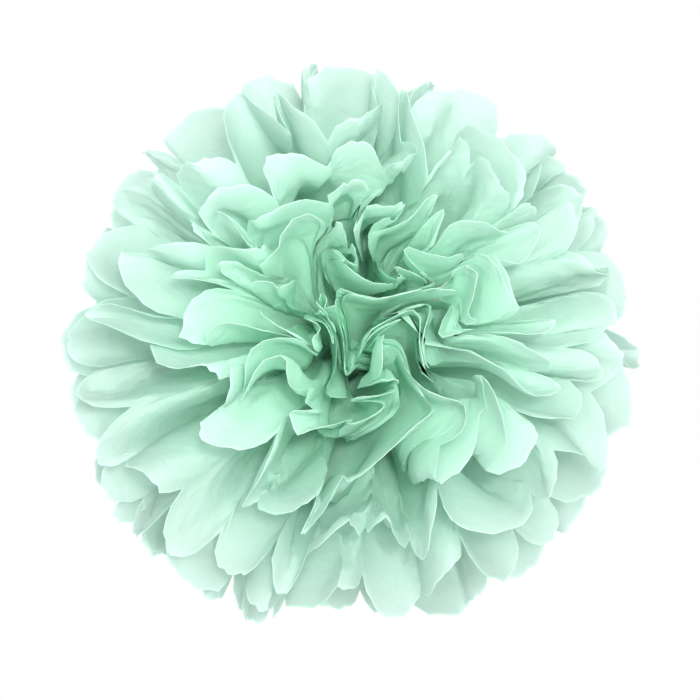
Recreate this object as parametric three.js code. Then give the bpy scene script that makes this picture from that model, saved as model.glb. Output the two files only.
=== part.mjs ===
import * as THREE from 'three';

// Tissue paper pom pom: ten sheets pleated together, rounded at both ends, tied in the
// middle and fluffed into a ball. Millimetres, +Z up, +X right, -Y towards the viewer.
// The origin is the middle of the tie, where all the sheets cross.

// Ball and sheets
const BALL_RADIUS = 125;            // from the tie to the tips of the petals
const SHEET_COUNT = 10;
const PLEAT_COUNT = 14;             // pleats across a sheet, so as many petals in each fan
const PLEAT_WIDTH = 36;
const SCALLOP_DEPTH = 15;           // from a petal's round tip back to the crease beside it
const TRIM_UNEVENNESS = 5;          // how unevenly the pleat ends are cut
const TIP_MARGIN = 1;               // keeps the longest tips inside the ball
const SHEET_STEP = THREE.MathUtils.degToRad(16.4); // between neighbouring sheets, fluffed
const SEAM_TILT = THREE.MathUtils.degToRad(8);     // line where upper and lower fans meet

// A fluffed sheet is thicker than its paper, because tissue is creased all over
const PETAL_THICKNESS = 0.6;
const HUB_THICKNESS = 0.4;
const SHEET_CLEARANCE = 4;          // least gap between neighbouring sheets outside the tie

// Tie
const HUB_RADIUS = 11;              // flat, crushed middle of each sheet
const HUB_PITCH = 1;                // from sheet to sheet under the wire
const HUB_OPENING = 32;             // length over which the flat stack opens into fans
const NECK_HALF_WIDTH = 6;          // half the paper left between the two side notches
const WIRE_RADIUS = 0.6;
const WIRE_CLEARANCE = 0.35;        // wire to paper
const NOTCH_CLEARANCE = 0.7;        // wire to the sides of its notches

// Fluffing
const PLEAT_OPENNESS = 0.62;        // share of the full zigzag that a fluffed pleat keeps
const PLEAT_VARIATION = 0.32;
const PLEAT_LIMIT = 0.45;           // largest zigzag, where the petals are most crowded
const PAIRED_SHEETS = 2;            // innermost sheets on each side, whose pleats stay in pairs
const CREASE_JITTER = 0.35;         // in pleats
const CUPPING = 0.22;               // bulge of a petal between its creases
const CURL = 0.20;                  // lean of a crease's tip
const CLOSING = 0.3;                // lean of the innermost petals over the slit
const DRIFT = 0.08;                 // slow waves in a fluffed sheet
const FLARE = 0.30;                 // how much closer to the poles the lower petals stand
const POLE_SHORTENING = 7;          // how much less far the paper reaches at the poles
const TWIST_COUNT = 20;             // places where a group of petals is turned
const TWIST_ANGLE = 22;             // degrees, and up to twice as much
const TWIST_REACH = 18;             // degrees round its place, and some more
const TWIST_REACH_SPREAD = 8;
const RIM_STEADINESS = 0.75;        // share of the twists that the petals at the rim don't take
const RIM_HALF_WIDTH = 60;
const SLIT_HALF_LENGTH = 20;        // front opening between the two innermost fans

// Places on the front where the petals curl round each other: x, z, reach, turn in degrees
const CURLS = [
  [-12, 26, 24, 24],
  [26, 6, 24, -24],
  [-2, -22, 24, 24],
];

// Facets
const WIRE_SIDES = 8;
const WIRE_CORNER_STEPS = 4;

// Rows of a fan from the hub to the tips: share of the petal's length, facets in a pleat
const ROWS = [
  { height: 0, steps: 1 },
  { height: 0.12, steps: 2 },
  { height: 0.36, steps: 2 },
  { height: 0.68, steps: 2 },
  { height: 1, steps: 3 },
];

const SLIT_SIZE = SLIT_HALF_LENGTH / 2;

// Repeatable noise

function hash(a, b = 0, c = 0, d = 0) {
  const x = Math.sin(a * 12.9898 + b * 78.233 + c * 37.719 + d * 53.117 + 4.1) * 43758.5453;
  return x - Math.floor(x);
}

function signedHash(a, b, c, d) {
  return 2 * hash(a, b, c, d) - 1;
}

function smooth(x) {
  const t = THREE.MathUtils.clamp(x, 0, 1);
  return t * t * (3 - 2 * t);
}

function waves(seed, x, y, z, count) {
  let sum = 0;
  for (let i = 0; i < count; i += 1) {
    const wave = new THREE.Vector3(
      signedHash(seed, i, 1),
      signedHash(seed, i, 2),
      signedHash(seed, i, 3),
    ).setLength(0.7 + 0.7 * hash(seed, i, 4));
    const phase = 2 * Math.PI * hash(seed, i, 5);
    sum += Math.sin(x * wave.x + y * wave.y + z * wave.z + phase);
  }
  return sum / Math.sqrt(count);
}

// Polar angles are measured at the tie from the -Y axis, and levels are their stretched
// form, in which the ten sheets never cross

function levelOf(angle) {
  return Math.log(Math.tan(angle / 2));
}

function angleOf(level) {
  return 2 * Math.atan(Math.exp(level));
}

function sheetAngle(sheet) {
  return Math.PI / 2 + (sheet - (SHEET_COUNT - 1) / 2) * SHEET_STEP;
}

function opened(length) {
  return smooth((length - 0.6 * HUB_RADIUS) / HUB_OPENING);
}

function loosened(length) {
  return smooth((length - 1.5 * HUB_RADIUS) / (0.32 * BALL_RADIUS));
}

// Millimetres across the sheets for each radian of polar angle
function stackRate(length) {
  const share = opened(length);
  return (1 - share) * (HUB_PITCH / SHEET_STEP) + share * length;
}

function sheetThickness(length) {
  const share = smooth((length - HUB_RADIUS) / HUB_OPENING);
  return HUB_THICKNESS + (PETAL_THICKNESS - HUB_THICKNESS) * share;
}

// One fan: the paper of one sheet on one side of the tie. A place across it is counted in
// pleats, from 0 at one seam to PLEAT_COUNT at the other

function rowPlaces({ steps }) {
  return Array.from({ length: PLEAT_COUNT * steps + 1 }, (_, i) => i / steps);
}

function pleatAt(place) {
  return Math.min(Math.floor(place), PLEAT_COUNT - 1);
}

function betweenCreases(place, valueAt) {
  const pleat = pleatAt(place);
  return THREE.MathUtils.lerp(valueAt(pleat), valueAt(pleat + 1), place - pleat);
}

// Share of the half turn from one seam to the other
function turnShare(fan, place) {
  return betweenCreases(place, (crease) => {
    const inside = crease > 0 && crease < PLEAT_COUNT;
    return (crease + (inside ? CREASE_JITTER * signedHash(fan, crease, 3) : 0)) / PLEAT_COUNT;
  });
}

function azimuthAt(fan, place, length) {
  const notch = (WIRE_RADIUS + NOTCH_CLEARANCE) / length;
  const sweep = Math.PI - 2 * notch;
  return SEAM_TILT + Math.PI * fan + notch + sweep * turnShare(fan, place);
}

// The hub is an ellipse, as narrow as the neck at the two notches
function innerLength(fan, place) {
  const turn = Math.PI * turnShare(fan, place);
  const reach = Math.hypot(HUB_RADIUS * Math.cos(turn), NECK_HALF_WIDTH * Math.sin(turn));
  return (HUB_RADIUS * NECK_HALF_WIDTH) / reach;
}

// Distance along the paper from the tie
function paperLength(fan, place, height) {
  const fromMiddle = 0.96 * Math.abs(2 * (place - pleatAt(place)) - 1);
  const arc = (1 - Math.sqrt(1 - fromMiddle ** 2)) / (1 - Math.sqrt(1 - 0.96 ** 2));
  const cut = betweenCreases(place, (crease) => TRIM_UNEVENNESS * signedHash(fan, crease, 1));
  const tip = BALL_RADIUS - TIP_MARGIN - SCALLOP_DEPTH * arc + cut;
  const start = innerLength(fan, place);
  return start + (tip - start) * height;
}

// Polar angle of a pleated sheet before its neighbours push on it
function freeAngle(sheet, fan, place, height) {
  const length = paperLength(fan, place, height);
  const angle = sheetAngle(sheet);
  const radius = Math.max(stackRate(length) * Math.sin(angle), 4);
  const chord = (Math.PI * radius) / PLEAT_COUNT;
  const fold = Math.sqrt(Math.max(PLEAT_WIDTH ** 2 - chord ** 2, (0.45 * PLEAT_WIDTH) ** 2));
  const rank = Math.min(sheet, SHEET_COUNT - 1 - sheet);
  const together = rank < PAIRED_SHEETS ? 2 : 1;
  const zigzag = betweenCreases(place, (crease) => {
    const size = PLEAT_OPENNESS + PLEAT_VARIATION * signedHash(sheet, fan, crease, 2);
    return Math.floor(crease / together) % 2 === 0 ? size : -size;
  });
  const outward = sheet < SHEET_COUNT / 2 ? 1 : -1;
  const pleat = pleatAt(place);
  const cup = outward * CUPPING * signedHash(sheet, fan, pleat, 5)
    * Math.sin(Math.PI * (place - pleat)) * smooth((height - 0.3) / 0.7);
  const curl = CURL * betweenCreases(place, (crease) => signedHash(sheet, fan, crease, 6))
    * smooth((height - 0.45) / 0.55);
  const wave = Math.min(fold / 2 / radius, PLEAT_LIMIT) * loosened(length) * zigzag;
  const closing = -outward * CLOSING * Math.max(1 - 0.6 * rank, 0)
    * smooth((height - 0.5) / 0.5) * Math.sin(Math.PI * turnShare(fan, place)) ** 3;
  return angleOf(levelOf(angle) + wave + cup + curl + closing);
}

// Polar angles of all the sheets at one spot, kept in order so that none crosses another
function stackedAngles(fan, place, height) {
  const length = paperLength(fan, place, height);
  const pitch = sheetThickness(length) + SHEET_CLEARANCE * opened(length);
  const apart = Math.min(pitch / stackRate(length), 0.9 * SHEET_STEP);
  const angles = Array.from({ length: SHEET_COUNT }, (_, sheet) => (
    freeAngle(sheet, fan, place, height)));
  const middle = SHEET_COUNT / 2;
  for (let sheet = middle - 2; sheet >= 0; sheet -= 1) {
    angles[sheet] = Math.min(angles[sheet], angles[sheet + 1] - apart);
  }
  for (let sheet = middle; sheet < SHEET_COUNT; sheet += 1) {
    angles[sheet] = Math.max(angles[sheet], angles[sheet - 1] + apart);
  }
  return angles;
}

// Fluffing: every step moves all of space smoothly, so the sheets stay apart

const twists = Array.from({ length: TWIST_COUNT }, (_, i) => {
  const y = 1 - (2 * (i + 0.5)) / TWIST_COUNT;
  const ring = Math.sqrt(1 - y * y);
  const turn = i * 2.39996 + 0.7;
  return {
    axis: new THREE.Vector3(ring * Math.cos(turn), -y, ring * Math.sin(turn)),
    angle: THREE.MathUtils.degToRad(TWIST_ANGLE * (1 + hash(i, 9))) * (i % 2 === 0 ? -1 : 1),
    reach: THREE.MathUtils.degToRad(TWIST_REACH + TWIST_REACH_SPREAD * hash(i, 8)),
  };
});

function twistPetals(point) {
  for (const { axis, angle, reach } of twists) {
    const off = point.angleTo(axis) / reach;
    const rise = smooth((point.length() / BALL_RADIUS - 0.2) / 0.64);
    const rim = 1 - smooth(Math.abs(point.y) / RIM_HALF_WIDTH - 0.2);
    const turn = angle * Math.exp(-off * off) * rise * (1 - RIM_STEADINESS * rim);
    point.applyAxisAngle(axis, -turn);
  }
}

function openSlit(point) {
  const depth = Math.abs(point.y) / BALL_RADIUS;
  const size = SLIT_SIZE * smooth((depth - 0.08) / 0.48) * Math.min(depth / 0.88, 1);
  const along = new THREE.Vector2(Math.cos(SEAM_TILT), Math.sin(SEAM_TILT));
  const x = point.x * along.x + point.z * along.y;
  const z = point.z * along.x - point.x * along.y;
  const radius = Math.max(Math.hypot(x, z), 1e-6);
  const spread = Math.hypot(radius, size);
  const wide = (x / radius) * (spread + size * size / spread);
  const tall = (z * radius) / spread;
  point.x = wide * along.x - tall * along.y;
  point.z = wide * along.y + tall * along.x;
}

function curlFront(point) {
  for (const [x, z, reach, degrees] of CURLS) {
    const dx = point.x - x;
    const dz = point.z - z;
    const nearness = Math.exp(-(dx * dx + dz * dz) / reach ** 2);
    const front = smooth((-point.y / BALL_RADIUS - 0.28) / 0.56);
    const turn = THREE.MathUtils.degToRad(degrees) * nearness * front;
    point.x = x + dx * Math.cos(turn) - dz * Math.sin(turn);
    point.z = z + dx * Math.sin(turn) + dz * Math.cos(turn);
  }
}

function fluffedPoint(length, angle, azimuth) {
  const loose = loosened(length);
  const share = opened(length);
  const reach = (2.5 * length) / BALL_RADIUS;
  let level = levelOf(angle);
  let turn = azimuth;
  turn += DRIFT * loose * waves(1, 3 * Math.cos(turn), 3 * Math.sin(turn), 4 * level + reach, 5);
  level += DRIFT * loose
    * waves(2, 6 * Math.cos(turn), 6 * Math.sin(turn), 2 * level + 1.6 * reach, 5);
  level *= 1 + FLARE * share * (1 - smooth((length / BALL_RADIUS - 0.44) / 0.56));
  const polar = angleOf(level);
  const stretched = length - POLE_SHORTENING * (1 - Math.sin(polar)) * share;
  const radius = (1 - share) * length + share * stretched * Math.sin(polar);
  const hub = (HUB_PITCH * (polar - Math.PI / 2)) / SHEET_STEP;
  const point = new THREE.Vector3(
    radius * Math.cos(turn),
    (1 - share) * hub - share * stretched * Math.cos(polar),
    radius * Math.sin(turn),
  );
  twistPetals(point);
  openSlit(point);
  curlFront(point);
  return point;
}

// Solids

// Facets between two rows of corners that run the same way, each with its place
function stitch(faces, near, far) {
  let i = 0;
  let k = 0;
  while (i < near.length - 1 || k < far.length - 1) {
    const nearNext = near[i + 1]?.place ?? Infinity;
    const farNext = far[k + 1]?.place ?? Infinity;
    if (nearNext <= farNext) {
      faces.push([near[i].index, far[k].index, near[i + 1].index]);
      i += 1;
    } else {
      faces.push([near[i].index, far[k].index, far[k + 1].index]);
      k += 1;
    }
  }
}

// Rows of one whole sheet, from the tips of its lower fan over the hub to its upper tips
function sheetRows() {
  const rows = [];
  let index = 0;
  const add = (fan, row) => {
    const places = rowPlaces(row);
    rows.push(places.map((across) => {
      const place = fan === 0 ? across : PLEAT_COUNT - across;
      return { fan, height: row.height, at: place, place: across, index: index++ };
    }));
  };
  [...ROWS].reverse().forEach((row) => add(1, row));
  ROWS.forEach((row) => add(0, row));
  return rows;
}

// A closed shell: the sheet's front, its back, and a wall all round its edge
function sheetGeometry(sheet) {
  const rows = sheetRows();
  const corners = rows.flat();
  const facets = [];
  for (let row = 1; row < rows.length; row += 1) stitch(facets, rows[row - 1], rows[row]);
  const edge = [
    ...rows[0],
    ...rows.slice(1).map((row) => row.at(-1)),
    ...rows.at(-1).slice(0, -1).reverse(),
    ...rows.slice(1, -1).map((row) => row[0]).reverse(),
  ].map((corner) => corner.index);

  const middle = corners.map(({ fan, at, height }) => {
    const length = paperLength(fan, at, height);
    const angle = stackedAngles(fan, at, height)[sheet];
    return {
      point: fluffedPoint(length, angle, azimuthAt(fan, at, length)),
      normal: new THREE.Vector3(),
      half: sheetThickness(length) / 2,
    };
  });
  for (const facet of facets) {
    const [a, b, c] = facet.map((corner) => middle[corner].point);
    const across = b.clone().sub(a).cross(c.clone().sub(a)).normalize();
    facet.forEach((corner) => middle[corner].normal.add(across));
  }
  const side = (sign) => middle.flatMap(({ point, normal, half }) => (
    normal.clone().setLength(sign * half).add(point).toArray()));
  const back = corners.length;
  const index = [
    ...facets.flat(),
    ...facets.flatMap(([a, b, c]) => [a + back, c + back, b + back]),
    ...edge.flatMap((a, i) => {
      const b = edge[(i + 1) % edge.length];
      return [b, a + back, a, b, b + back, a + back];
    }),
  ];
  const geometry = new THREE.BufferGeometry();
  const positions = [...side(1), ...side(-1)];
  geometry.setAttribute('position', new THREE.Float32BufferAttribute(positions, 3));
  geometry.setIndex(index);
  return geometry;
}

// The tie wire is one closed loop round the necks of all the sheets
function wireGeometry() {
  const stack = (HUB_PITCH * (SHEET_COUNT - 1)) / 2 + HUB_THICKNESS / 2;
  const halfWidth = NECK_HALF_WIDTH + WIRE_CLEARANCE + WIRE_RADIUS;
  const halfDepth = stack + 2 * WIRE_CLEARANCE + WIRE_RADIUS;
  const corner = 2 * WIRE_RADIUS + WIRE_CLEARANCE;
  const path = [];
  for (let side = 0; side < 4; side += 1) {
    const signX = side === 0 || side === 3 ? 1 : -1;
    const signY = side < 2 ? 1 : -1;
    for (let step = 0; step <= WIRE_CORNER_STEPS; step += 1) {
      const turn = (Math.PI / 2) * (side + step / WIRE_CORNER_STEPS);
      path.push(new THREE.Vector2(
        signX * (halfWidth - corner) + corner * Math.cos(turn),
        signY * (halfDepth - corner) + corner * Math.sin(turn),
      ));
    }
  }
  const points = [];
  path.forEach((place, i) => {
    const before = path[(i + path.length - 1) % path.length];
    const after = path[(i + 1) % path.length];
    const along = after.clone().sub(before).normalize();
    for (let k = 0; k < WIRE_SIDES; k += 1) {
      const round = (2 * Math.PI * k) / WIRE_SIDES;
      points.push(new THREE.Vector3(
        place.x + WIRE_RADIUS * Math.cos(round) * along.y,
        place.y - WIRE_RADIUS * Math.cos(round) * along.x,
        WIRE_RADIUS * Math.sin(round),
      ));
    }
  });
  const faces = [];
  for (let i = 0; i < path.length; i += 1) {
    for (let k = 0; k < WIRE_SIDES; k += 1) {
      const next = ((i + 1) % path.length) * WIRE_SIDES;
      const a = i * WIRE_SIDES + k;
      const b = i * WIRE_SIDES + ((k + 1) % WIRE_SIDES);
      const c = next + ((k + 1) % WIRE_SIDES);
      const d = next + k;
      faces.push(a, d, c, a, c, b);
    }
  }
  const geometry = new THREE.BufferGeometry();
  geometry.setAttribute('position', new THREE.Float32BufferAttribute(
    points.flatMap((point) => point.toArray()), 3));
  geometry.setIndex(faces);
  geometry.rotateY(-SEAM_TILT);
  return geometry;
}

// Assembly

function tissue() {
  return new THREE.MeshStandardMaterial({ color: 0xa6e2c8, roughness: 0.8, metalness: 0 });
}

function steel() {
  return new THREE.MeshStandardMaterial({ color: 0xb9bcc0, roughness: 0.35, metalness: 1 });
}

function named(name, geometry, material) {
  const mesh = new THREE.Mesh(geometry, material);
  mesh.name = name;
  return mesh;
}

const pomPom = new THREE.Group();
for (let sheet = 0; sheet < SHEET_COUNT; sheet += 1) {
  const name = `sheet_${String(sheet + 1).padStart(2, '0')}`;
  pomPom.add(named(name, sheetGeometry(sheet), tissue()));
}
pomPom.add(named('tie_wire', wireGeometry(), steel()));

export default pomPom;
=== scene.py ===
"""Tissue paper pom pom: ten pleated sheets, tied in the middle and fluffed into a ball."""

import logging
import math
from dataclasses import dataclass, field
from enum import Enum

import bpy
import numpy as np
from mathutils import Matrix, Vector


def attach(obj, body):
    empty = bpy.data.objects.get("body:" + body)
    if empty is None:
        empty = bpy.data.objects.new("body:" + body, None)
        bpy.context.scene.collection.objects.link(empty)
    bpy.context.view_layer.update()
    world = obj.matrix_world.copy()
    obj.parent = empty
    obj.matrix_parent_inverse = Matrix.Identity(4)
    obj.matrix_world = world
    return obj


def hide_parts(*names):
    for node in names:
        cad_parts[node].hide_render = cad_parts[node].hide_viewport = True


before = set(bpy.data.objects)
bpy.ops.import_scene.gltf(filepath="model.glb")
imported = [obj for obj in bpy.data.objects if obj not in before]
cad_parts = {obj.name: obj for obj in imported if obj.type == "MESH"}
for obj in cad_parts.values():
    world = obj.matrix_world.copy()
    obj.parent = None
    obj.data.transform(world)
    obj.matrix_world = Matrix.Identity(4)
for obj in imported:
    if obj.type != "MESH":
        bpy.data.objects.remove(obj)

Array = np.ndarray
Colour = tuple[float, float, float, float]
Span = tuple[float, float]

LOG = logging.getLogger("pom_pom")
MILLIMETRE = 0.001
GOLDEN_ANGLE = math.pi * (3 - math.sqrt(5))
TINY = 1e-6
WHITE: Colour = (1.0, 1.0, 1.0, 1.0)
BODY = "root"

# Numbers that scatter the keys of a chance.
KEY_WEIGHTS = (12.9898, 78.233, 37.719, 53.117)
KEY_START = 4.1
KEY_SPREAD = 43758.5453

# Paces of the plain waves in a set, and how many radians the starts of other waves range over.
WAVE_PACES: Span = (0.7, 1.4)
START_RANGE = 6.0


class Fan(Enum):
    """One half of every sheet: the petals on one side of the tie."""

    UPPER = 0
    LOWER = 1


class Wave(Enum):
    """Which set of slow waves is wanted; each has a pattern of its own."""

    SLIP = 21
    TURN = 1
    LEVEL = 2


class WaveDraw(Enum):
    """What a repeatable number of a slow wave is drawn for."""

    X = 1
    Y = 2
    Z = 3
    PACE = 4
    START = 5


class Draw(Enum):
    """What a repeatable number of the paper or of a twist is drawn for."""

    TIP = 1
    FOLD = 2
    CREASE_PLACE = 3
    CUP = 5
    LEAN = 6
    TWIST_REACH = 8
    TWIST_ANGLE = 9
    CRUMPLE_WAY = 11
    CRUMPLE_WIDTH = 12
    CRUMPLE_START = 13
    CRUMPLE_BEND = 14
    ROLL = 15
    RAGGED = 16


def chance(*keys: float) -> float:
    """A repeatable number from 0 to 1 that belongs to these keys."""
    mixed = math.sin(sum(k * w for k, w in zip(keys, KEY_WEIGHTS)) + KEY_START) * KEY_SPREAD
    return mixed - math.floor(mixed)


def signed_chance(*keys: float) -> float:
    """A repeatable number from -1 to 1 that belongs to these keys."""
    return 2 * chance(*keys) - 1


def smooth(share: Array | float) -> Array:
    """Eases from 0 to 1 as share goes from 0 to 1, and stays flat outside."""
    t = np.clip(share, 0, 1)
    return t * t * (3 - 2 * t)


def rise(value: Array, span: Span) -> Array:
    """Eases from 0 at the start of a span to 1 at its end, and stays flat outside."""
    start, end = span
    return smooth((value - start) / (end - start))


def within(span: Span, share: float) -> float:
    """The number that lies this share of the way along a span."""
    start, end = span
    return start + (end - start) * share


def waves(wave: Wave, x: Array, y: Array, z: Array, count: int = 5) -> Array:
    """Slow irregular waves, mostly from -1 to 1.

    Args:
        wave: The set of waves.
        x: First coordinate, in radians.
        y: Second coordinate.
        z: Third coordinate.
        count: How many plain waves are added up.

    Returns:
        The height of the waves at each point.
    """
    total = np.zeros(np.broadcast(x, y, z).shape)
    sides = (WaveDraw.X, WaveDraw.Y, WaveDraw.Z)
    for i in range(count):
        way = Vector([signed_chance(wave.value, i, side.value) for side in sides]).normalized()
        way = way * within(WAVE_PACES, chance(wave.value, i, WaveDraw.PACE.value))
        start = 2 * math.pi * chance(wave.value, i, WaveDraw.START.value)
        total = total + np.sin(x * way.x + y * way.y + z * way.z + start)
    return total / math.sqrt(count)


def level_of(angle: Array | float) -> Array:
    """The level of a polar angle. Sheets whose levels keep their order don't cross."""
    return np.log(np.tan(np.asarray(angle) / 2))


def angle_of(level: Array | float) -> Array:
    """The polar angle of a level."""
    return 2 * np.arctan(np.exp(level))


@dataclass(frozen=True)
class Cut:
    """How the stack is folded and cut.

    Lengths are in millimetres, and the paces of the ragged edge in radians for each pleat.
    """

    sheets: int = 10
    pleats: int = 14
    pleat_width: float = 36.0
    radius: float = 125.0
    scallop_depth: float = 15.0
    unevenness: float = 5.0
    tip_margin: float = 1.0
    raggedness: float = 0.5
    ragged_paces: tuple[float, ...] = (9.0, 20.0, 31.0)
    scallop_share: float = 0.97
    hub_radius: float = 11.0
    neck_half_width: float = 6.0
    notch_half_width: float = 1.3
    thickness: float = 0.16

    def flat_width(self) -> float:
        """Width of a sheet across its pleats before it is folded, in millimetres."""
        return self.pleats * self.pleat_width

    def scallop(self, across: Array) -> Array:
        """How far a pleat's round cut edge falls: 0 in its middle, 1 at its creases."""
        from_middle = self.scallop_share * np.abs(2 * across - 1)
        return (1 - np.sqrt(1 - from_middle**2)) / (1 - math.sqrt(1 - self.scallop_share**2))


@dataclass(frozen=True)
class Curl:
    """A place on the front where petals curl round each other, in millimetres."""

    x: float
    z: float
    reach: float
    degrees: float


@dataclass(frozen=True)
class Drift:
    """Slow waves through the ball that carry the paper along.

    The paces say how fast the waves change round the ball, from level to level and along
    the paper.
    """

    wave: Wave
    size: float
    pace_round: float
    pace_levels: float = 0.0
    pace_along: float = 0.0
    count: int = 5

    def at(self, turn: Array, level: Array, reach: Array) -> Array:
        """How far the waves carry points.

        Args:
            turn: Angle of the points round the ball's front, in radians.
            level: Level of the points.
            reach: Distance along the paper, in drift lengths.

        Returns:
            The height of the waves at each point.
        """
        x = self.pace_round * np.cos(turn)
        y = self.pace_round * np.sin(turn)
        z = self.pace_levels * level + self.pace_along * reach
        return self.size * waves(self.wave, x, y, z, self.count)


@dataclass(frozen=True)
class Mesh:
    """How finely a fan is divided. Its last row is narrow, and marks the cut edge, where the
    colour takes a painted highlight.
    """

    steps_in_pleat: int = 12
    rows: int = 46
    edge_row: float = 0.011


@dataclass
class Fluffing:
    """How the flat stack is opened into a ball. Every step moves all of space smoothly.

    Lengths are in millimetres. The flat and the tied part of the hub are shares of its radius,
    and spans are shares of the ball's radius, apart from rim_span, which is in rim half widths.
    """

    cut: Cut
    seam_tilt: float = math.radians(8)
    sheet_step: float = math.radians(16.4)
    hub_pitch: float = 1.0
    hub_opening: float = 32.0
    flat_hub: float = 0.6
    tied_hub: float = 1.5
    loosening: float = 0.32
    pole_shortening: float = 7.0
    flare: float = 0.30
    unflared_span: Span = (0.44, 1.0)
    drift_length: float = 50.0
    slip: float = 0.04
    slip_levels: float = 0.55
    slip_drift: Drift = Drift(Wave.SLIP, 2.0, 2.0, count=4)
    turn_drift: Drift = Drift(Wave.TURN, 0.08, 3.0, 4.0, 1.0)
    level_drift: Drift = Drift(Wave.LEVEL, 0.08, 6.0, 2.0, 1.6)
    twist_count: int = 20
    twist_start: float = 0.7
    twist_degrees: Span = (22.0, 44.0)
    twist_reach: Span = (18.0, 26.0)
    twist_span: Span = (0.2, 0.84)
    rim_steadiness: float = 0.75
    rim_half_width: float = 60.0
    rim_span: Span = (0.2, 1.2)
    slit_half_length: float = 20.0
    slit_span: Span = (0.08, 0.56)
    slit_full_depth: float = 0.88
    curl_span: Span = (0.28, 0.84)
    curls: tuple[Curl, ...] = (
        Curl(5, -22, 20, 130),
        Curl(-8, 20, 14, -100),
        Curl(18, 18, 13, 110),
        Curl(-24, -2, 14, 100),
        Curl(33, -4, 15, -60),
        Curl(-26, -26, 14, -80),
        Curl(36, -28, 15, 80),
        Curl(-30, 24, 14, 80),
        Curl(4, 44, 14, -70),
        Curl(38, 24, 14, 70),
    )

    def sheet_angle(self, sheet: int) -> float:
        """Polar angle of a sheet from the front of the ball, in radians."""
        return math.pi / 2 + (sheet - (self.cut.sheets - 1) / 2) * self.sheet_step

    def opened(self, length: Array) -> Array:
        """From 0 in the flat hub to 1 where the fans stand open."""
        start = self.flat_hub * self.cut.hub_radius
        return rise(length, (start, start + self.hub_opening))

    def loosened(self, length: Array) -> Array:
        """From 0 at the tie to 1 where the petals are free."""
        start = self.tied_hub * self.cut.hub_radius
        return rise(length, (start, start + self.loosening * self.cut.radius))

    def stack_rate(self, length: Array) -> Array:
        """Millimetres across the sheets for each radian of polar angle."""
        share = self.opened(length)
        return (1 - share) * (self.hub_pitch / self.sheet_step) + share * length

    def place(self, length: Array, level: Array, azimuth: Array) -> Array:
        """Where points of the fluffed paper stand.

        Args:
            length: Distance along the paper from the tie, in millimetres.
            level: Level of the points.
            azimuth: Angle round the ball's front, in radians.

        Returns:
            Points as an array of x, y, z in millimetres.
        """
        loose = self.loosened(length)
        share = self.opened(length)
        reach = length / self.drift_length
        slip = 2 * math.pi * level / self.slip_levels + self.slip_drift.at(azimuth, level, reach)
        turn = azimuth + self.slip * loose * np.sin(slip)
        turn = turn + loose * self.turn_drift.at(turn, level, reach)
        level = level + loose * self.level_drift.at(turn, level, reach)
        unflared = rise(length / self.cut.radius, self.unflared_span)
        level = level * (1 + self.flare * share * (1 - unflared))
        polar = angle_of(level)
        stretched = length - self.pole_shortening * (1 - np.sin(polar)) * share
        radius = (1 - share) * length + share * stretched * np.sin(polar)
        hub = self.hub_pitch * (polar - math.pi / 2) / self.sheet_step
        depth = (1 - share) * hub - share * stretched * np.cos(polar)
        points = np.stack([radius * np.cos(turn), depth, radius * np.sin(turn)], -1)
        return self.curl_front(self.open_slit(self.twist_petals(points)))

    def twist_petals(self, points: Array) -> Array:
        """Turns groups of petals about lines out of the middle of the ball."""
        for i in range(self.twist_count):
            across = 1 - 2 * (i + 0.5) / self.twist_count
            ring = math.sqrt(1 - across * across)
            round_ball = i * GOLDEN_ANGLE + self.twist_start
            axis = np.array([ring * math.cos(round_ball), -across, ring * math.sin(round_ball)])
            angle = math.radians(within(self.twist_degrees, chance(i, Draw.TWIST_ANGLE.value)))
            way = 1 if i % 2 else -1
            reach = math.radians(within(self.twist_reach, chance(i, Draw.TWIST_REACH.value)))
            length = np.linalg.norm(points, axis=-1, keepdims=True)
            along = points @ axis
            off = np.arccos(np.clip(along[..., None] / np.maximum(length, TINY), -1, 1))
            off_rim = rise(np.abs(points[..., 1:2]) / self.rim_half_width, self.rim_span)
            strength = rise(length / self.cut.radius, self.twist_span)
            strength = strength * (1 - self.rim_steadiness * (1 - off_rim))
            turn = way * angle * np.exp(-((off / reach) ** 2)) * strength
            cosine, sine = np.cos(turn), np.sin(turn)
            points = (
                points * cosine
                + np.cross(axis, points) * sine
                + axis * along[..., None] * (1 - cosine)
            )
        return points

    def open_slit(self, points: Array) -> Array:
        """Draws the hole about the ball's front and back middle into a slit on the seam."""
        depth = np.abs(points[..., 1]) / self.cut.radius
        size = self.slit_half_length / 2 * rise(depth, self.slit_span)
        size = size * np.minimum(depth / self.slit_full_depth, 1)
        cosine, sine = math.cos(self.seam_tilt), math.sin(self.seam_tilt)
        x = points[..., 0] * cosine + points[..., 2] * sine
        z = points[..., 2] * cosine - points[..., 0] * sine
        radius = np.maximum(np.hypot(x, z), TINY)
        spread = np.hypot(radius, size)
        wide = x / radius * (spread + size * size / spread)
        tall = z * radius / spread
        x = wide * cosine - tall * sine
        z = wide * sine + tall * cosine
        return np.stack([x, points[..., 1], z], -1)

    def curl_front(self, points: Array) -> Array:
        """Curls the petals in the middle of the front round each other."""
        front = rise(-points[..., 1] / self.cut.radius, self.curl_span)
        for curl in self.curls:
            dx = points[..., 0] - curl.x
            dz = points[..., 2] - curl.z
            turn = math.radians(curl.degrees) * front * np.exp(-(dx**2 + dz**2) / curl.reach**2)
            cosine, sine = np.cos(turn), np.sin(turn)
            x = curl.x + dx * cosine - dz * sine
            z = curl.z + dx * sine + dz * cosine
            points = np.stack([x, points[..., 1], z], -1)
        return points


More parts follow.
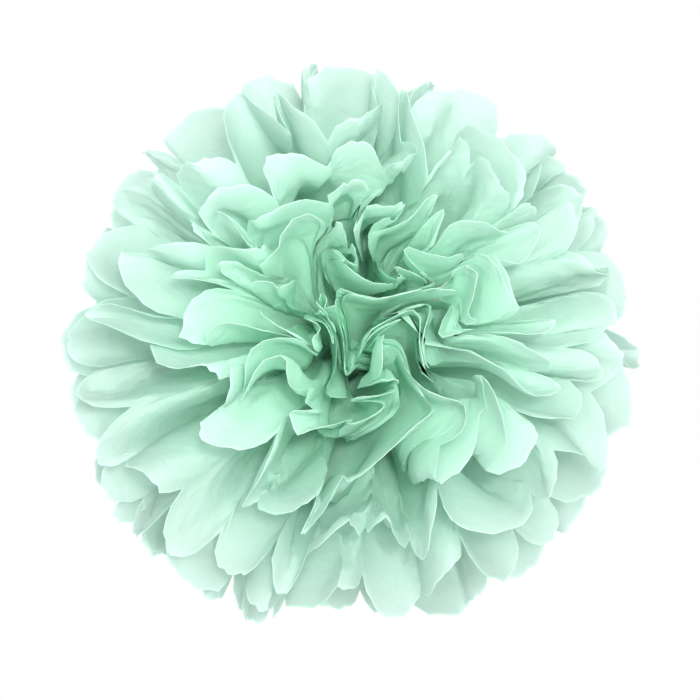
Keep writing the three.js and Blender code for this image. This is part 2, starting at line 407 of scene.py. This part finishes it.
@dataclass
class FanPaper:
    """The paper of all the sheets on one side of the tie, before it is fluffed.

    A row of values counts from either end of the stack, and its last value holds for the rest.
    Spans are shares of the height from the tie to the cut tips. Folds, crumples and clearance
    are worked out for at least their own radius, in millimetres.
    """

    fan: Fan
    cut: Cut
    fluffing: Fluffing
    mesh: Mesh
    openness: float = 0.62
    variation: float = 0.32
    jitter: float = 0.35
    cupping: float = 0.22
    lean: tuple[float, ...] = (0.20, 0.20, 0.18, 0.12, 0.08)
    clearance: float = 2.4
    clearance_radius: float = 6.0
    tip_roll: tuple[float, ...] = (0.22, 0.22, 0.18, 0.12, 0.08)
    kept_together: tuple[int, ...] = (2, 1)
    fold_radius: float = 4.0
    least_fold: float = 0.45
    deepest_fold: tuple[float, ...] = (0.65, 0.50)
    softness: tuple[float, ...] = (0.35, 0.30, 0.10)
    tip_softness: float = 0.6
    uneven_share: tuple[float, ...] = (0.1, 0.2, 0.6)
    closing: tuple[float, ...] = (1.1, 0.7, 0.42, 0.25, 0.12)
    belly: tuple[float, ...] = (0.5, 0.35, 0.22, 0.12, 0.0)
    bud_sharpness: int = 3
    crumple_height: float = 0.6
    crumple_count: int = 5
    crumple_widths: Span = (9.0, 24.0)
    crumple_bend: float = 1.5
    crumple_bend_lengths: Span = (17.0, 13.0)
    crumple_radius: float = 20.0
    soft_span: Span = (0.25, 1.0)
    cup_span: Span = (0.3, 1.0)
    lean_span: Span = (0.45, 1.0)
    belly_spans: tuple[Span, Span] = ((0.0, 0.4), (0.55, 1.0))
    closing_span: Span = (0.5, 1.0)
    roll_span: Span = (0.78, 1.0)
    crumple_span: Span = (0.1, 0.6)
    place: Array = field(init=False)
    height: Array = field(init=False)

    def __post_init__(self) -> None:
        """Lays out the places across the fan, in pleats, and the heights along it."""
        count = self.cut.pleats * self.mesh.steps_in_pleat
        across = np.arange(count + 1) / self.mesh.steps_in_pleat
        along = np.append(np.linspace(0, 1 - self.mesh.edge_row, self.mesh.rows), 1)
        self.place, self.height = np.meshgrid(across, along)

    def pleat(self) -> Array:
        """Number of the pleat that each point lies in."""
        return np.minimum(np.floor(self.place), self.cut.pleats - 1).astype(int)

    def across(self) -> Array:
        """How far across its pleat each point lies, from 0 to 1."""
        return self.place - self.pleat()

    def between_creases(self, values: list[float], share: Array | None = None) -> Array:
        """Blends one value for each crease over the pleats between them.

        Args:
            values: A value for each crease.
            share: How far across its pleat each point counts as lying.

        Returns:
            The blended value at each point.
        """
        at = np.array(values)
        pleat = self.pleat()
        share = self.across() if share is None else share
        return at[pleat] * (1 - share) + at[pleat + 1] * share

    def crease_values(self, size: float, draw: Draw, *keys: float) -> list[float]:
        """A repeatable signed value of that size for each crease."""
        creases = range(self.cut.pleats + 1)
        return [size * signed_chance(*keys, self.fan.value, i, draw.value) for i in creases]

    def turn_share(self) -> Array:
        """Share of the half turn from one seam to the other."""
        last = self.cut.pleats
        jitter = self.crease_values(self.jitter, Draw.CREASE_PLACE)
        places = [i + (jitter[i] if 0 < i < last else 0) for i in range(last + 1)]
        return self.between_creases(places) / last

    def length(self, sheet: int) -> Array:
        """Distance along the paper from the tie, in millimetres."""
        cut = self.cut
        turn = math.pi * self.turn_share()
        reach = np.hypot(cut.hub_radius * np.cos(turn), cut.neck_half_width * np.sin(turn))
        start = cut.hub_radius * cut.neck_half_width / reach
        unevenness = cut.unevenness * self.of_sheet(self.uneven_share, sheet)
        uneven = self.between_creases(self.crease_values(unevenness, Draw.TIP, sheet))
        ragged = sum(
            np.sin(self.place * pace + self.wave_start(sheet, i, Draw.RAGGED))
            for i, pace in enumerate(cut.ragged_paces)
        )
        tip = cut.radius - cut.tip_margin - cut.scallop_depth * cut.scallop(self.across())
        tip = tip + uneven + cut.raggedness * ragged
        return start + (tip - start) * self.height

    def wave_start(self, sheet: int, wave: int, draw: Draw) -> float:
        """Where a small wave of a sheet starts, in radians."""
        return START_RANGE * chance(sheet, self.fan.value, wave, draw.value)

    def azimuth(self, length: Array) -> Array:
        """Angle round the ball's front, in radians."""
        notch = self.cut.notch_half_width / length
        start = self.fluffing.seam_tilt + math.pi * self.fan.value + notch
        return start + (math.pi - 2 * notch) * self.turn_share()

    def crumples(self, sheet: int) -> Array:
        """Small folds left by crumpling, mostly from -1 to 1."""
        across = self.place * self.cut.pleat_width
        along = self.length(sheet)
        total = np.zeros(across.shape)
        bend_along, bend_across = self.crumple_bend_lengths
        for i in range(self.crumple_count):
            keys = (sheet, self.fan.value, i)
            way = math.pi * chance(*keys, Draw.CRUMPLE_WAY.value)
            width = within(self.crumple_widths, chance(*keys, Draw.CRUMPLE_WIDTH.value))
            start = 2 * math.pi * chance(*keys, Draw.CRUMPLE_START.value)
            bend = np.sin(along / bend_along + self.wave_start(sheet, i, Draw.CRUMPLE_BEND))
            bend = self.crumple_bend * bend + np.sin(across / bend_across + i)
            distance = across * math.cos(way) + along * math.sin(way)
            fold = np.sin(2 * math.pi / width * distance + start + bend)
            total = total + (1 - 2 * np.abs(fold))
        return total / math.sqrt(self.crumple_count)

    def of_sheet(self, values: tuple[float, ...], sheet: int) -> float:
        """Picks the value of a sheet from a row that starts at either end of the stack."""
        rank = min(sheet, self.cut.sheets - 1 - sheet)
        return values[min(rank, len(values) - 1)]

    def of_pleat(self, size: float, draw: Draw, sheet: int) -> Array:
        """A repeatable bulge for each pleat, nothing at its creases and most in its middle."""
        keys = (sheet, self.fan.value)
        values = [signed_chance(*keys, i, draw.value) for i in range(self.cut.pleats)]
        return size * np.array(values)[self.pleat()] * np.sin(math.pi * self.across())

    def stack_radius(self, sheet: int) -> Array:
        """Millimetres across the sheets for each step of level."""
        angle = self.fluffing.sheet_angle(sheet)
        return self.fluffing.stack_rate(self.length(sheet)) * math.sin(angle)

    def pleat_folds(self, sheet: int) -> Array:
        """The zigzag of the pleats, with folds that are rounder toward the cut edge."""
        width = self.cut.pleat_width
        radius = np.maximum(self.stack_radius(sheet), self.fold_radius)
        chord = math.pi * radius / self.cut.pleats
        depth = np.sqrt(np.maximum(width**2 - chord**2, (self.least_fold * width) ** 2))
        softness = self.of_sheet(self.softness, sheet)
        softness = softness + self.tip_softness * rise(self.height, self.soft_span)
        across = self.across()
        rounded = (1 - np.cos(math.pi * across)) / 2
        share = across * (1 - softness) + rounded * softness
        sizes = self.crease_values(self.variation, Draw.FOLD, sheet)
        together = int(self.of_sheet(self.kept_together, sheet))
        sides = [(-1) ** (i // together) * (self.openness + size) for i, size in enumerate(sizes)]
        swing = np.minimum(depth / 2 / radius, self.of_sheet(self.deepest_fold, sheet))
        loose = self.fluffing.loosened(self.length(sheet))
        return swing * loose * self.between_creases(sides, share)

    def petal_bends(self, sheet: int) -> Array:
        """How the petals cup, lean, bulge out, close toward the middle and roll at their tips."""
        height = self.height
        outward = 1 if sheet < self.cut.sheets / 2 else -1
        cup = outward * self.of_pleat(self.cupping, Draw.CUP, sheet) * rise(height, self.cup_span)
        size = self.of_sheet(self.lean, sheet)
        lean = self.between_creases(self.crease_values(size, Draw.LEAN, sheet))
        lean = lean * rise(height, self.lean_span)
        swelling, easing = self.belly_spans
        belly = self.of_sheet(self.belly, sheet) * rise(height, swelling)
        belly = belly * (1 - rise(height, easing))
        closing = self.of_sheet(self.closing, sheet) * rise(height, self.closing_span)
        bud = outward * (belly - closing)
        bud = bud * np.sin(math.pi * self.turn_share()) ** self.bud_sharpness
        roll = self.of_pleat(self.of_sheet(self.tip_roll, sheet), Draw.ROLL, sheet)
        roll = roll * rise(height, self.roll_span)
        return cup + lean + bud + roll

    def free_level(self, sheet: int) -> Array:
        """Level of a pleated sheet before its neighbours push on it."""
        crumple = self.crumple_height * self.crumples(sheet)
        crumple = crumple / np.maximum(self.stack_radius(sheet), self.crumple_radius)
        crumple = crumple * rise(self.height, self.crumple_span)
        level = level_of(self.fluffing.sheet_angle(sheet))
        return level + self.pleat_folds(sheet) + self.petal_bends(sheet) + crumple

    def levels(self) -> list[Array]:
        """Levels of all the sheets, in order at every place of the grid they share."""
        cut = self.cut
        levels = [self.free_level(sheet) for sheet in range(cut.sheets)]
        middle = cut.sheets // 2

        def apart(sheet: int) -> Array:
            """Least step of level from this sheet to the next one."""
            radius = np.maximum(self.stack_radius(sheet), self.clearance_radius)
            return self.clearance * self.fluffing.opened(self.length(sheet)) / radius

        for sheet in range(middle - 2, -1, -1):
            levels[sheet] = np.minimum(levels[sheet], levels[sheet + 1] - apart(sheet))
        for sheet in range(middle, cut.sheets):
            levels[sheet] = np.maximum(levels[sheet], levels[sheet - 1] + apart(sheet))
        return levels


@dataclass(frozen=True)
class TissueFinishAndPaintedLight:
    """Pale green tissue: thin enough for light to come through, with fine crinkles. Its colour
    also carries painted light: a brighter, greener middle, greyer tips at the rim and a painted
    highlight along the cut edges.
    """

    name: str = "tissue"
    # Painted light: the first colour makes the middle of the ball brighter and greener than the
    # paper, as if lit deep inside. The tip colour is greyer, standing in for the washed-out
    # backlit rim. The edge colour is a painted highlight along the cut edges.
    painted_lit_middle: Colour = (0.62, 0.99, 0.79, 1.0)
    colour: Colour = (0.62, 0.77, 0.70, 1.0)
    tips: Colour = (0.65, 0.68, 0.68, 1.0)
    edge: Colour = (0.80, 0.98, 0.89, 1.0)
    light_through: Colour = (0.74, 0.91, 0.84, 1.0)
    painted_lit_middle_until: float = 0.30
    colour_at: float = 0.70
    through_share: float = 0.6
    roughness: float = 0.85
    specular: float = 0.08
    crinkle_strength: float = 0.35
    crinkle_depth: float = 0.0012
    crinkle_scale: float = 9.0
    wander_scale: float = 2.2
    wander_detail: float = 4.0
    wander_distortion: float = 0.3

    def painted_light_colours(self) -> bpy.types.NodeTree:
        """Node group: the paper's colour from the hub to the cut edge, with painted light in it:
        a brighter, greener middle, greyer tips at the rim and a painted highlight on the cut
        edge.
        """
        group = bpy.data.node_groups.new("TissueColourPaintedLight", "ShaderNodeTree")
        group.interface.new_socket("Reach", in_out="INPUT", socket_type="NodeSocketFloat")
        group.interface.new_socket("Edge", in_out="INPUT", socket_type="NodeSocketFloat")
        group.interface.new_socket("Colour", in_out="OUTPUT", socket_type="NodeSocketColor")
        start = group.nodes.new("NodeGroupInput")
        # Painted light along the reach: a brighter, greener middle, then the paper's colour, then
        # greyer tips at the rim.
        ramp = group.nodes.new("ShaderNodeValToRGB")
        ramp.color_ramp.elements[0].position = self.painted_lit_middle_until
        ramp.color_ramp.elements[0].color = self.painted_lit_middle
        ramp.color_ramp.elements[1].position = 1.0
        ramp.color_ramp.elements[1].color = self.tips
        middle = ramp.color_ramp.elements.new(self.colour_at)
        middle.color = self.colour
        # Painted highlight: the edge colour is mixed in along the cut edges.
        mix = group.nodes.new("ShaderNodeMix")
        mix.data_type = "RGBA"
        mix.inputs["B"].default_value = self.edge
        end = group.nodes.new("NodeGroupOutput")
        group.links.new(start.outputs["Reach"], ramp.inputs["Fac"])
        group.links.new(start.outputs["Edge"], mix.inputs["Factor"])
        group.links.new(ramp.outputs["Color"], mix.inputs["A"])
        group.links.new(mix.outputs["Result"], end.inputs["Colour"])
        return group

    def crinkles(self) -> bpy.types.NodeTree:
        """Node group: height of the fine creases of handled tissue."""
        group = bpy.data.node_groups.new("TissueCrinkle", "ShaderNodeTree")
        group.interface.new_socket("Paper", in_out="INPUT", socket_type="NodeSocketVector")
        group.interface.new_socket("Height", in_out="OUTPUT", socket_type="NodeSocketFloat")
        start = group.nodes.new("NodeGroupInput")
        creases = group.nodes.new("ShaderNodeTexVoronoi")
        creases.feature = "DISTANCE_TO_EDGE"
        creases.inputs["Scale"].default_value = self.crinkle_scale
        wander = group.nodes.new("ShaderNodeTexNoise")
        wander.inputs["Scale"].default_value = self.wander_scale * self.crinkle_scale
        wander.inputs["Detail"].default_value = self.wander_detail
        wander.inputs["Distortion"].default_value = self.wander_distortion
        add = group.nodes.new("ShaderNodeMath")
        add.operation = "ADD"
        end = group.nodes.new("NodeGroupOutput")
        group.links.new(start.outputs["Paper"], creases.inputs["Vector"])
        group.links.new(start.outputs["Paper"], wander.inputs["Vector"])
        group.links.new(creases.outputs["Distance"], add.inputs[0])
        group.links.new(wander.outputs["Fac"], add.inputs[1])
        group.links.new(add.outputs[0], end.inputs["Height"])
        return group

    def material(self) -> bpy.types.Material:
        """The tissue's material, built once and shared by all the sheets."""
        material = bpy.data.materials.new(self.name)
        material.use_nodes = True
        tree = material.node_tree
        tree.nodes.clear()
        output = tree.nodes.new("ShaderNodeOutputMaterial")
        mix = tree.nodes.new("ShaderNodeMixShader")
        mix.inputs["Fac"].default_value = self.through_share
        surface = tree.nodes.new("ShaderNodeBsdfPrincipled")
        surface.inputs["Roughness"].default_value = self.roughness
        surface.inputs["Specular IOR Level"].default_value = self.specular
        through = tree.nodes.new("ShaderNodeBsdfTranslucent")
        through.inputs["Color"].default_value = self.light_through
        # Base colour with painted light: a brighter, greener middle, greyer tips at the rim and a
        # painted highlight on the cut edges, steered by the reach and edge attributes.
        colour = tree.nodes.new("ShaderNodeGroup")
        colour.node_tree = self.painted_light_colours()
        for name in ("reach", "edge"):
            value = tree.nodes.new("ShaderNodeAttribute")
            value.attribute_name = name
            tree.links.new(value.outputs["Fac"], colour.inputs[name.title()])
        crinkle = tree.nodes.new("ShaderNodeGroup")
        crinkle.node_tree = self.crinkles()
        paper = tree.nodes.new("ShaderNodeUVMap")
        paper.uv_map = "paper"
        bump = tree.nodes.new("ShaderNodeBump")
        bump.inputs["Strength"].default_value = self.crinkle_strength
        bump.inputs["Distance"].default_value = self.crinkle_depth
        tree.links.new(paper.outputs["UV"], crinkle.inputs["Paper"])
        tree.links.new(crinkle.outputs["Height"], bump.inputs["Height"])
        tree.links.new(colour.outputs["Colour"], surface.inputs["Base Color"])
        for shader in (surface, through):
            tree.links.new(bump.outputs["Normal"], shader.inputs["Normal"])
        tree.links.new(surface.outputs[0], mix.inputs[1])
        tree.links.new(through.outputs[0], mix.inputs[2])
        tree.links.new(mix.outputs[0], output.inputs["Surface"])
        return material


@dataclass
class TissueBall:
    """All the sheets of the ball."""

    cut: Cut = field(default_factory=Cut)
    mesh: Mesh = field(default_factory=Mesh)
    finish: TissueFinishAndPaintedLight = field(default_factory=TissueFinishAndPaintedLight)
    crease_angle: float = math.radians(50)
    paper_unit: float = 100.0
    paper_share: float = 0.25

    def build(self) -> None:
        """Makes every sheet, puts it in place of its solid and dresses it."""
        fluffing = Fluffing(self.cut)
        fans = [FanPaper(fan, self.cut, fluffing, self.mesh) for fan in Fan]
        levels = [fan.levels() for fan in fans]
        material = self.finish.material()
        for sheet in range(self.cut.sheets):
            halves, papers = [], []
            for fan, stack in zip(fans, levels):
                length = fan.length(sheet)
                papers.append(length)
                halves.append(fluffing.place(length, stack[sheet], fan.azimuth(length)))
            name = f"sheet_{sheet + 1:02d}"
            piece = self.sheet_object(f"tissue_{name}", halves, papers)
            piece.data.materials.append(material)
            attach(piece, BODY)
            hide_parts(name)
            LOG.info("%s: %d faces", piece.name, len(piece.data.polygons))

    def mark_paper(
        self, mesh: bpy.types.Mesh, papers: list[Array], rows: int, columns: int
    ) -> None:
        """Stores each corner's place on the flat sheet, and how near the cut tips it lies.

        The map's unit is paper_unit millimetres. The edge value is 1 on the rows of the cut edge,
        which take a painted highlight. The reach mixes the distance along the paper, by
        paper_share, with the distance from the line through the ball's front and back; it steers
        the painted light
        of the colour: a brighter, greener middle and greyer tips at the rim.

        Args:
            mesh: The sheet's mesh, row by row.
            papers: Distance along the paper of the upper and the lower fan, in millimetres.
            rows: Number of rows of corners.
            columns: Corners in a row.
        """
        upper, lower = papers
        along = np.concatenate([-lower[::-1, ::-1], upper])
        across = np.linspace(0, self.cut.flat_width(), columns)[None, :] + 0 * along
        flat = np.stack([across, along], -1).reshape(-1, 2) / self.paper_unit
        corners = np.zeros(len(mesh.loops), dtype=np.int32)
        mesh.loops.foreach_get("vertex_index", corners)
        paper = mesh.uv_layers.new(name="paper")
        paper.data.foreach_set("uv", flat[corners].astype(np.float32).ravel())
        # Painted highlight: the first and last rows lie on the cut edges and take the pale edge
        # colour.
        edge = np.zeros((rows, columns), dtype=np.float32)
        edge[0] = edge[-1] = 1
        mesh.attributes.new("edge", "FLOAT", "POINT").data.foreach_set("value", edge.ravel())
        place = np.zeros(3 * rows * columns)
        mesh.vertices.foreach_get("co", place)
        # Painted light: the reach, largely the distance from the front-back line, makes the ball
        # brighter and greener in the middle and greyer toward its rim.
        from_line = np.hypot(place[0::3], place[2::3]) / (self.cut.radius * MILLIMETRE)
        reach = self.paper_share * np.abs(along).ravel() / self.cut.radius
        reach = (reach + (1 - self.paper_share) * from_line).astype(np.float32)
        mesh.attributes.new("reach", "FLOAT", "POINT").data.foreach_set("value", reach)

    def sheet_object(
        self, name: str, halves: list[Array], papers: list[Array]
    ) -> bpy.types.Object:
        """One sheet as a thin closed shell, from its lower tips over the tie to its upper tips.

        Args:
            name: Name of the piece.
            halves: Points of the upper and the lower fan, row by row, in millimetres.
            papers: Distance along the paper of the same points.

        Returns:
            The finished piece.
        """
        upper, lower = halves
        points = np.concatenate([lower[::-1, ::-1], upper]) * MILLIMETRE
        rows, columns = points.shape[:2]
        corner = np.arange(rows * columns).reshape(rows, columns)
        faces = np.stack(
            [corner[:-1, :-1], corner[1:, :-1], corner[1:, 1:], corner[:-1, 1:]], -1
        )
        mesh = bpy.data.meshes.new(name)
        mesh.from_pydata(points.reshape(-1, 3).tolist(), [], faces.reshape(-1, 4).tolist())
        self.mark_paper(mesh, papers, rows, columns)
        piece = bpy.data.objects.new(name, mesh)
        bpy.context.scene.collection.objects.link(piece)
        bpy.ops.object.select_all(action="DESELECT")
        bpy.context.view_layer.objects.active = piece
        piece.select_set(True)
        bpy.ops.object.modifier_add(type="SOLIDIFY")
        solid = piece.modifiers[-1]
        solid.thickness = self.cut.thickness * MILLIMETRE
        solid.offset = 0
        bpy.ops.object.modifier_apply(modifier=solid.name)
        bpy.ops.object.shade_smooth_by_angle(angle=self.crease_angle)
        return piece


@dataclass(frozen=True)
class WireFinish:
    """Thin soft steel wire: drawn bright, dulled here and there by handling."""

    name: str = "wire"
    bright: Colour = (0.52, 0.53, 0.55, 1.0)
    dull: Colour = (0.33, 0.33, 0.34, 1.0)
    smoothest: float = 0.28
    roughest: float = 0.55
    patch_scale: float = 400.0

    def material(self) -> bpy.types.Material:
        """The wire's material."""
        material = bpy.data.materials.new(self.name)
        material.use_nodes = True
        tree = material.node_tree
        surface = tree.nodes["Principled BSDF"]
        surface.inputs["Metallic"].default_value = 1.0
        place = tree.nodes.new("ShaderNodeTexCoord")
        patches = tree.nodes.new("ShaderNodeTexNoise")
        patches.inputs["Scale"].default_value = self.patch_scale
        tone = tree.nodes.new("ShaderNodeMix")
        tone.data_type = "RGBA"
        tone.inputs["A"].default_value = self.bright
        tone.inputs["B"].default_value = self.dull
        shine = tree.nodes.new("ShaderNodeMapRange")
        shine.inputs["To Min"].default_value = self.smoothest
        shine.inputs["To Max"].default_value = self.roughest
        tree.links.new(place.outputs["Object"], patches.inputs["Vector"])
        tree.links.new(patches.outputs["Fac"], tone.inputs["Factor"])
        tree.links.new(patches.outputs["Fac"], shine.inputs["Value"])
        tree.links.new(tone.outputs["Result"], surface.inputs["Base Color"])
        tree.links.new(shine.outputs["Result"], surface.inputs["Roughness"])
        return material


@dataclass(frozen=True)
class Lamp:
    """A soft lamp aimed at the ball: square, or round with a beam. Metres, watts, degrees."""

    name: str
    place: tuple[float, float, float]
    size: float
    power: float
    colour: tuple[float, float, float] = (1.0, 1.0, 1.0)
    beam: float = 0.0


@dataclass
class Studio:
    """Camera, soft light, pale floor and white surroundings. Lengths are in metres."""

    distance: float = 1.3
    frame_width: float = 0.304
    azimuth: float = -3.0
    elevation: float = -9.0
    sensor: float = 36.0
    floor_drop: float = 0.42
    floor_size: float = 6.0
    floor_colour: Colour = (0.85, 0.85, 0.85, 1.0)
    floor_roughness: float = 0.9
    surroundings: float = 0.6
    lamp_list: tuple[Lamp, ...] = (
        Lamp("key", (-0.5, -1.3, 0.7), 1.0, 4.5),
        Lamp("fill", (0.1, -1.6, -0.1), 0.9, 26.0),
        Lamp("middle", (0.05, -1.4, -0.05), 0.12, 200.0, beam=7.0),
        Lamp("back_left", (-1.0, 0.9, 0.5), 0.8, 8.0, (0.92, 0.98, 1.0)),
        Lamp("back_right", (1.0, 0.9, 0.1), 0.8, 6.0),
        Lamp("back_top", (0.0, 0.9, 1.2), 0.8, 6.0),
    )

    def build(self) -> None:
        """Sets up the whole studio."""
        self.camera()
        self.lamps()
        self.world()
        self.floor()

    def camera(self) -> None:
        """Looks at the ball from the photograph's side."""
        azimuth = math.radians(self.azimuth)
        elevation = math.radians(self.elevation)
        back = Vector(
            (
                math.sin(azimuth) * math.cos(elevation),
                -math.cos(azimuth) * math.cos(elevation),
                math.sin(elevation),
            )
        )
        data = bpy.data.cameras.new("camera")
        data.sensor_width = self.sensor
        data.lens = self.sensor * self.distance / self.frame_width
        camera = bpy.data.objects.new("camera", data)
        camera.location = back * self.distance
        camera.rotation_euler = (-back).to_track_quat("-Z", "Y").to_euler()
        bpy.context.scene.collection.objects.link(camera)
        bpy.context.scene.camera = camera

    def lamps(self) -> None:
        """Soft lamps in front, a beam on the middle, and soft lamps behind for the rim."""
        for lamp in self.lamp_list:
            data = bpy.data.lights.new(lamp.name, "SPOT" if lamp.beam else "AREA")
            if lamp.beam:
                data.spot_size = math.radians(lamp.beam)
                data.spot_blend = 1.0
                data.shadow_soft_size = lamp.size
            else:
                data.size = lamp.size
            data.energy = lamp.power
            data.color = lamp.colour
            place = Vector(lamp.place)
            light = bpy.data.objects.new(lamp.name, data)
            light.location = place
            light.rotation_euler = place.to_track_quat("Z", "Y").to_euler()
            light.visible_camera = False
            bpy.context.scene.collection.objects.link(light)

    def world(self) -> None:
        """White surroundings, plain white to the eye."""
        world = bpy.data.worlds.new("surroundings")
        world.use_nodes = True
        tree = world.node_tree
        tree.nodes.clear()
        output = tree.nodes.new("ShaderNodeOutputWorld")
        mix = tree.nodes.new("ShaderNodeMixShader")
        path = tree.nodes.new("ShaderNodeLightPath")
        seen = path.outputs["Is Camera Ray"]
        for ray in ("Is Glossy Ray", "Is Transmission Ray"):
            either = tree.nodes.new("ShaderNodeMath")
            either.operation = "MAXIMUM"
            tree.links.new(seen, either.inputs[0])
            tree.links.new(path.outputs[ray], either.inputs[1])
            seen = either.outputs[0]
        for slot, strength in ((1, self.surroundings), (2, 1.0)):
            light = tree.nodes.new("ShaderNodeBackground")
            light.inputs["Color"].default_value = WHITE
            light.inputs["Strength"].default_value = strength
            tree.links.new(light.outputs[0], mix.inputs[slot])
        tree.links.new(seen, mix.inputs["Fac"])
        tree.links.new(mix.outputs[0], output.inputs["Surface"])
        bpy.context.scene.world = world

    def floor(self) -> None:
        """A pale floor under the hung ball."""
        place = (0, 0, -self.floor_drop)
        bpy.ops.mesh.primitive_plane_add(size=self.floor_size, location=place)
        floor = bpy.context.object
        floor.name = "floor"
        material = bpy.data.materials.new("floor")
        material.use_nodes = True
        surface = material.node_tree.nodes["Principled BSDF"]
        surface.inputs["Base Color"].default_value = self.floor_colour
        surface.inputs["Roughness"].default_value = self.floor_roughness
        floor.data.materials.append(material)


def main() -> None:
    """Builds the studio and the ball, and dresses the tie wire."""
    logging.basicConfig(level=logging.INFO, format="%(message)s")
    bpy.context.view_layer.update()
    Studio().build()
    TissueBall().build()
    wire = WireFinish().material()
    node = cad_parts["tie_wire"]
    node.data.materials.clear()
    node.data.materials.append(wire)
    LOG.info("%s: %d faces", node.name, len(node.data.polygons))
    bpy.context.scene.view_settings.view_transform = "Standard"


if __name__ == "__main__":
    main()
